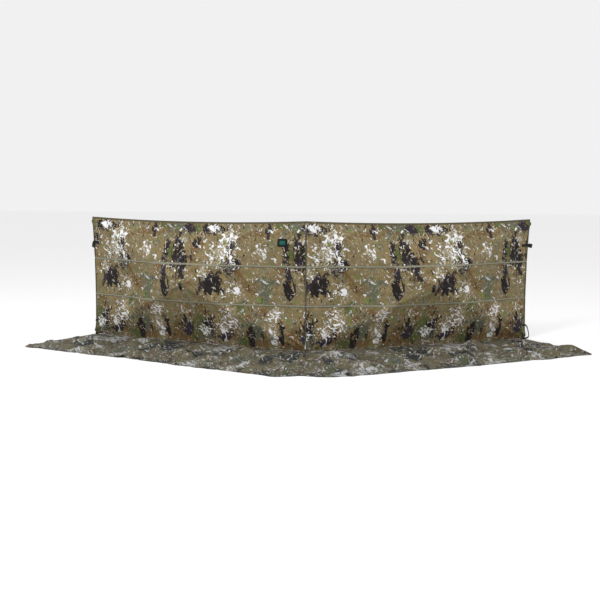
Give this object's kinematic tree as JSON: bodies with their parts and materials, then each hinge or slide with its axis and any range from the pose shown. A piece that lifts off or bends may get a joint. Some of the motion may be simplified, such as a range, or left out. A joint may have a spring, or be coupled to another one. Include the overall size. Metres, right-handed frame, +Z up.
{
  "type": "layout field blind",
  "caption": "Low two-wall camouflage field blind: pop-out hub walls hinged at a centre seam, each with a ground skirt.",
  "frame": {"origin": "middle of the blind's footprint, on the ground", "axes": "+X along the blind from its left wall to its right wall as seen from the front; +Y to the back, where the hunter lies; +Z up"},
  "size_m": [4.0264, 1.3685, 0.914],
  "materials": {
    "camo_cloth": "woven polyester printed with a leaf and bark camouflage",
    "skirt_cloth": "coated oxford weave with the same print",
    "brush_webbing": "flat webbing",
    "black_webbing": "flat nylon webbing",
    "label_weave": "woven patch",
    "fibreglass": "pultruded rod, satin",
    "hub_nylon": "moulded glass-filled nylon",
    "button_plastic": "moulded plastic",
    "tip_plastic": "moulded plastic",
    "buckle_plastic": "moulded acetal",
    "pin_steel": "zinc plated"
  },
  "bodies": {
    "left_hub": {"left_hub": "hub_nylon", "left_hub_pins": "pin_steel", "left_hub_button": "button_plastic", "left_pull_tab": "black_webbing"},
    "left_outer_top_arm": {"left_outer_top_pole": "fibreglass", "left_outer_top_knuckle": "hub_nylon", "left_outer_top_tip_cup": "tip_plastic", "left_outer_top_wall": "camo_cloth", "left_outer_top_brush_strap": "brush_webbing", "left_end_strap": "black_webbing", "left_end_buckle": "buckle_plastic"},
    "left_outer_bottom_arm": {"left_outer_bottom_pole": "fibreglass", "left_outer_bottom_knuckle": "hub_nylon", "left_outer_bottom_tip_cup": "tip_plastic", "left_outer_bottom_wall": "camo_cloth", "left_outer_bottom_brush_strap": "brush_webbing", "left_stake_loop": "black_webbing"},
    "left_inner_top_arm": {"left_inner_top_pole": "fibreglass", "left_inner_top_knuckle": "hub_nylon", "left_inner_top_tip_cup": "tip_plastic", "left_inner_top_wall": "camo_cloth", "left_inner_top_brush_strap": "brush_webbing", "label_patch": "label_weave"},
    "left_inner_bottom_arm": {"left_inner_bottom_pole": "fibreglass", "left_inner_bottom_knuckle": "hub_nylon", "left_inner_bottom_tip_cup": "tip_plastic", "left_inner_bottom_wall": "camo_cloth", "left_inner_bottom_brush_strap": "brush_webbing"},
    "left_outer_skirt_flap": {"left_outer_skirt": "skirt_cloth"},
    "left_inner_skirt_flap": {"left_inner_skirt": "skirt_cloth"},
    "right_hub": {"right_hub": "hub_nylon", "right_hub_pins": "pin_steel", "right_hub_button": "button_plastic", "right_pull_tab": "black_webbing"},
    "right_outer_top_arm": {"right_outer_top_pole": "fibreglass", "right_outer_top_knuckle": "hub_nylon", "right_outer_top_tip_cup": "tip_plastic", "right_outer_top_wall": "camo_cloth", "right_outer_top_brush_strap": "brush_webbing", "right_end_strap": "black_webbing", "right_end_buckle": "buckle_plastic"},
    "right_outer_bottom_arm": {"right_outer_bottom_pole": "fibreglass", "right_outer_bottom_knuckle": "hub_nylon", "right_outer_bottom_tip_cup": "tip_plastic", "right_outer_bottom_wall": "camo_cloth", "right_outer_bottom_brush_strap": "brush_webbing", "right_stake_loop": "black_webbing"},
    "right_inner_top_arm": {"right_inner_top_pole": "fibreglass", "right_inner_top_knuckle": "hub_nylon", "right_inner_top_tip_cup": "tip_plastic", "right_inner_top_wall": "camo_cloth", "right_inner_top_brush_strap": "brush_webbing"},
    "right_inner_bottom_arm": {"right_inner_bottom_pole": "fibreglass", "right_inner_bottom_knuckle": "hub_nylon", "right_inner_bottom_tip_cup": "tip_plastic", "right_inner_bottom_wall": "camo_cloth", "right_inner_bottom_brush_strap": "brush_webbing"},
    "right_outer_skirt_flap": {"right_outer_skirt": "skirt_cloth"},
    "right_inner_skirt_flap": {"right_inner_skirt": "skirt_cloth"}
  },
  "joints": [
    {"name": "left_outer_top_fold", "type": "hinge", "parent": "left_hub", "child": "left_outer_top_arm", "pos_m": [-0.91598, 0.20639, 0.47308], "axis": [0.4267, -0.1553, 0.8909], "range_deg": [0, 100], "deforming": ["left_outer_top_wall", "left_outer_top_brush_strap", "left_end_strap"]},
    {"name": "left_collapse", "type": "hinge", "parent": "left_hub", "child": "left_outer_bottom_arm", "pos_m": [-0.91596, 0.20638, 0.44487], "axis": [-0.4283, 0.1559, 0.8901], "range_deg": [0, 100], "deforming": ["left_outer_bottom_wall", "left_outer_bottom_brush_strap", "left_stake_loop"]},
    {"name": "left_inner_top_fold", "type": "hinge", "parent": "left_hub", "child": "left_inner_top_arm", "pos_m": [-0.86426, 0.18757, 0.47347], "axis": [0.4386, -0.1596, -0.8844], "range_deg": [0, 100], "deforming": ["left_inner_top_wall", "left_inner_top_brush_strap", "label_patch"]},
    {"name": "left_inner_bottom_fold", "type": "hinge", "parent": "left_hub", "child": "left_inner_bottom_arm", "pos_m": [-0.86429, 0.18758, 0.44448], "axis": [-0.4402, 0.1602, -0.8835], "range_deg": [0, 100], "deforming": ["left_inner_bottom_wall", "left_inner_bottom_brush_strap"]},
    {"name": "left_outer_skirt_fold", "type": "hinge", "parent": "left_outer_bottom_arm", "child": "left_outer_skirt_flap", "pos_m": [-0.83277, 0.35425, 0.00075], "axis": [-0.9397, 0.342, 0], "range_deg": [0, 90], "deforming": ["left_outer_skirt"]},
    {"name": "left_inner_skirt_fold", "type": "hinge", "parent": "left_inner_bottom_arm", "child": "left_inner_skirt_flap", "pos_m": [-0.83277, 0.35425, 0.00075], "axis": [-0.9397, 0.342, 0], "range_deg": [0, 90], "deforming": ["left_inner_skirt"]},
    {"name": "right_outer_top_fold", "type": "hinge", "parent": "right_hub", "child": "right_outer_top_arm", "pos_m": [0.91598, 0.20639, 0.47308], "axis": [0.4267, 0.1553, -0.8909], "range_deg": [0, 100], "deforming": ["right_outer_top_wall", "right_outer_top_brush_strap", "right_end_strap"]},
    {"name": "right_collapse", "type": "hinge", "parent": "right_hub", "child": "right_outer_bottom_arm", "pos_m": [0.91596, 0.20638, 0.44487], "axis": [-0.4283, -0.1559, -0.8901], "range_deg": [0, 100], "deforming": ["right_outer_bottom_wall", "right_outer_bottom_brush_strap", "right_stake_loop"]},
    {"name": "right_inner_top_fold", "type": "hinge", "parent": "right_hub", "child": "right_inner_top_arm", "pos_m": [0.86426, 0.18757, 0.47347], "axis": [0.4386, 0.1596, 0.8844], "range_deg": [0, 100], "deforming": ["right_inner_top_wall", "right_inner_top_brush_strap"]},
    {"name": "right_inner_bottom_fold", "type": "hinge", "parent": "right_hub", "child": "right_inner_bottom_arm", "pos_m": [0.86429, 0.18758, 0.44448], "axis": [-0.4402, -0.1602, 0.8835], "range_deg": [0, 100], "deforming": ["right_inner_bottom_wall", "right_inner_bottom_brush_strap"]},
    {"name": "right_outer_skirt_fold", "type": "hinge", "parent": "right_outer_bottom_arm", "child": "right_outer_skirt_flap", "pos_m": [0.83277, 0.35425, 0.00255], "axis": [-0.9397, -0.342, 0], "range_deg": [0, 90], "deforming": ["right_outer_skirt"]},
    {"name": "right_inner_skirt_fold", "type": "hinge", "parent": "right_inner_bottom_arm", "child": "right_inner_skirt_flap", "pos_m": [0.83277, 0.35425, 0.00255], "axis": [-0.9397, -0.342, 0], "range_deg": [0, 90], "deforming": ["right_inner_skirt"]},
    {"name": "centre_fold", "type": "hinge", "parent": "left_hub", "child": "right_hub", "pos_m": [0, 0.06178, 0.459], "axis": [0, 0, 1], "range_deg": [-40, 118]}
  ],
  "couplings": [
    {"joint": "left_outer_top_fold", "follows": "left_collapse", "ratio": 1},
    {"joint": "left_inner_top_fold", "follows": "left_collapse", "ratio": 1},
    {"joint": "left_inner_bottom_fold", "follows": "left_collapse", "ratio": 1},
    {"joint": "left_outer_skirt_fold", "follows": "left_collapse", "ratio": 0.9},
    {"joint": "left_inner_skirt_fold", "follows": "left_collapse", "ratio": 0.9},
    {"joint": "right_outer_top_fold", "follows": "right_collapse", "ratio": 1},
    {"joint": "right_inner_top_fold", "follows": "right_collapse", "ratio": 1},
    {"joint": "right_inner_bottom_fold", "follows": "right_collapse", "ratio": 1},
    {"joint": "right_outer_skirt_fold", "follows": "right_collapse", "ratio": 0.9},
    {"joint": "right_inner_skirt_fold", "follows": "right_collapse", "ratio": 0.9}
  ]
}
